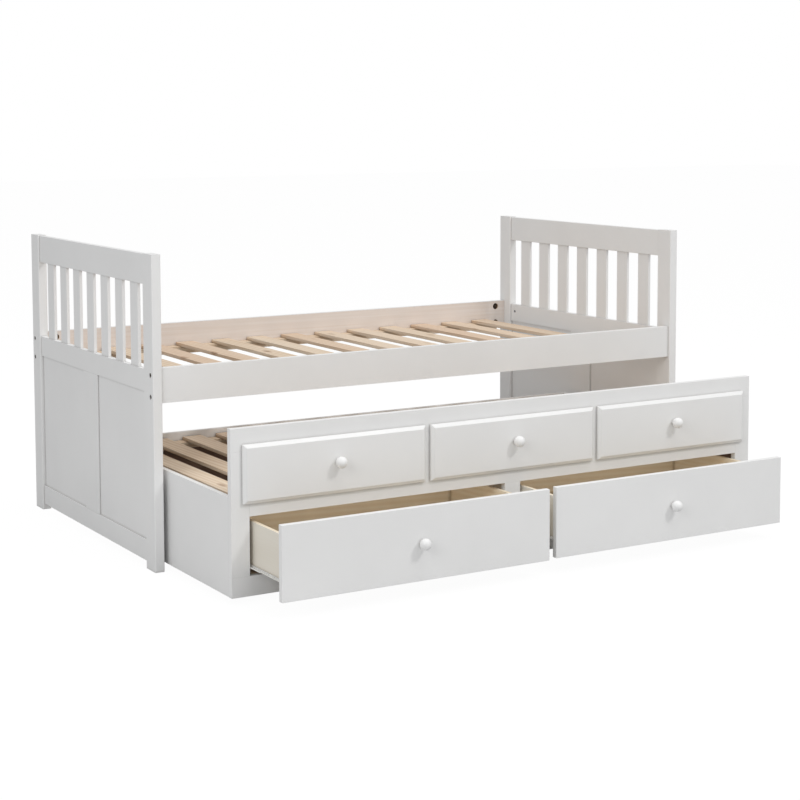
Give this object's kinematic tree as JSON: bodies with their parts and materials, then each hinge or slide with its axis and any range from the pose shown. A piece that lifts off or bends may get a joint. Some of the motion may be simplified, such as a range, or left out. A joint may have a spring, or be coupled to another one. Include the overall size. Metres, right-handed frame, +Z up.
{
  "type": "trundle bed",
  "caption": "White captain's bed with slatted ends, a pull-out trundle bed on caster wheels, drawers that slide out of the trundle's front, false drawer fronts and round knobs.",
  "frame": {"origin": "on the floor, under the middle of the bed as it stands with the trundle and the drawers part way out", "axes": "+X along the bed from the head end to the foot end, -Y to the front, where the trundle pulls out, +Z up"},
  "size_m": [1.985, 1.7434, 0.953],
  "materials": {
    "white_paint": "painted satin white",
    "pine": "planed pine, unfinished",
    "plywood": "plywood, clear sealed",
    "steel": "dark oxide",
    "zinc": "zinc plated",
    "enamel": "baked white enamel",
    "nylon": "moulded nylon"
  },
  "bodies": {
    "bed_frame": {"head_post_front": "white_paint", "head_post_back": "white_paint", "head_top_rail": "white_paint", "head_spindles": "white_paint", "head_mid_rail": "white_paint", "head_centre_stile": "white_paint", "head_panels": "white_paint", "head_bottom_rail": "white_paint", "foot_post_front": "white_paint", "foot_post_back": "white_paint", "foot_top_rail": "white_paint", "foot_spindles": "white_paint", "foot_mid_rail": "white_paint", "foot_centre_stile": "white_paint", "foot_panels": "white_paint", "foot_bottom_rail": "white_paint", "side_rail_front": "white_paint", "side_rail_back": "white_paint", "slat_ledges": "pine", "bed_slats": "pine", "bed_bolts": "steel", "bolt_nuts": "steel"},
    "trundle": {"face_top_rail": "white_paint", "face_mid_rail": "white_paint", "face_bottom_rail": "white_paint", "face_outer_stiles": "white_paint", "face_inner_stiles": "white_paint", "false_front_left": "white_paint", "false_front_middle": "white_paint", "false_front_right": "white_paint", "false_front_knobs": "white_paint", "tray_side_left": "white_paint", "tray_side_right": "white_paint", "tray_back": "white_paint", "tray_ledges": "pine", "tray_slats": "pine", "base_boards": "pine", "runner_boards": "pine", "fixed_runners": "enamel", "caster_brackets": "zinc"},
    "drawer_left": {"left_drawer_front": "white_paint", "left_drawer_sides": "plywood", "left_drawer_back": "plywood", "left_drawer_bottom": "plywood", "left_drawer_runners": "enamel", "left_drawer_knob": "white_paint"},
    "drawer_right": {"right_drawer_front": "white_paint", "right_drawer_sides": "plywood", "right_drawer_back": "plywood", "right_drawer_bottom": "plywood", "right_drawer_runners": "enamel", "right_drawer_knob": "white_paint"},
    "caster_wheel_front_left": {"wheel_front_left": "nylon"},
    "caster_wheel_front_right": {"wheel_front_right": "nylon"},
    "caster_wheel_rear_left": {"wheel_rear_left": "nylon"},
    "caster_wheel_rear_right": {"wheel_rear_right": "nylon"},
    "left_front_roller_pair": {"left_front_rollers": "nylon"},
    "left_rear_roller_pair": {"left_rear_rollers": "nylon"},
    "right_front_roller_pair": {"right_front_rollers": "nylon"},
    "right_rear_roller_pair": {"right_rear_rollers": "nylon"}
  },
  "joints": [
    {"name": "trundle_slide", "type": "slide", "parent": "bed_frame", "child": "trundle", "axis": [0, -1, 0], "range_m": [-0.438, 0.62]},
    {"name": "left_drawer_slide", "type": "slide", "parent": "trundle", "child": "drawer_left", "axis": [0, -1, 0], "range_m": [-0.197, 0.153]},
    {"name": "right_drawer_slide", "type": "slide", "parent": "trundle", "child": "drawer_right", "axis": [0, -1, 0], "range_m": [-0.187, 0.163]},
    {"name": "wheel_front_left_spin", "type": "hinge", "parent": "trundle", "child": "caster_wheel_front_left", "pos_m": [-0.8905, -0.50825, 0.02], "axis": [1, 0, 0], "continuous": true},
    {"name": "wheel_front_right_spin", "type": "hinge", "parent": "trundle", "child": "caster_wheel_front_right", "pos_m": [0.8905, -0.50825, 0.02], "axis": [1, 0, 0], "continuous": true},
    {"name": "wheel_rear_left_spin", "type": "hinge", "parent": "trundle", "child": "caster_wheel_rear_left", "pos_m": [-0.8905, 0.30475, 0.02], "axis": [1, 0, 0], "continuous": true},
    {"name": "wheel_rear_right_spin", "type": "hinge", "parent": "trundle", "child": "caster_wheel_rear_right", "pos_m": [0.8905, 0.30475, 0.02], "axis": [1, 0, 0], "continuous": true},
    {"name": "left_front_rollers_spin", "type": "hinge", "parent": "trundle", "child": "left_front_roller_pair", "pos_m": [-0.8837, -0.58225, 0.09], "axis": [1, 0, 0], "continuous": true},
    {"name": "left_rear_rollers_spin", "type": "hinge", "parent": "drawer_left", "child": "left_rear_roller_pair", "pos_m": [-0.8837, -0.37975, 0.09], "axis": [1, 0, 0], "continuous": true},
    {"name": "right_front_rollers_spin", "type": "hinge", "parent": "trundle", "child": "right_front_roller_pair", "pos_m": [0.8837, -0.58225, 0.09], "axis": [1, 0, 0], "continuous": true},
    {"name": "right_rear_rollers_spin", "type": "hinge", "parent": "drawer_right", "child": "right_rear_roller_pair", "pos_m": [0.8837, -0.36975, 0.09], "axis": [1, 0, 0], "continuous": true}
  ],
  "couplings": [
    {"joint": "wheel_front_left_spin", "follows": "trundle_slide", "rad_per_m": 50},
    {"joint": "wheel_front_right_spin", "follows": "trundle_slide", "rad_per_m": 50},
    {"joint": "wheel_rear_left_spin", "follows": "trundle_slide", "rad_per_m": 50},
    {"joint": "wheel_rear_right_spin", "follows": "trundle_slide", "rad_per_m": 50},
    {"joint": "left_front_rollers_spin", "follows": "left_drawer_slide", "rad_per_m": 125},
    {"joint": "left_rear_rollers_spin", "follows": "left_drawer_slide", "rad_per_m": 125},
    {"joint": "right_front_rollers_spin", "follows": "right_drawer_slide", "rad_per_m": 125},
    {"joint": "right_rear_rollers_spin", "follows": "right_drawer_slide", "rad_per_m": 125}
  ]
}
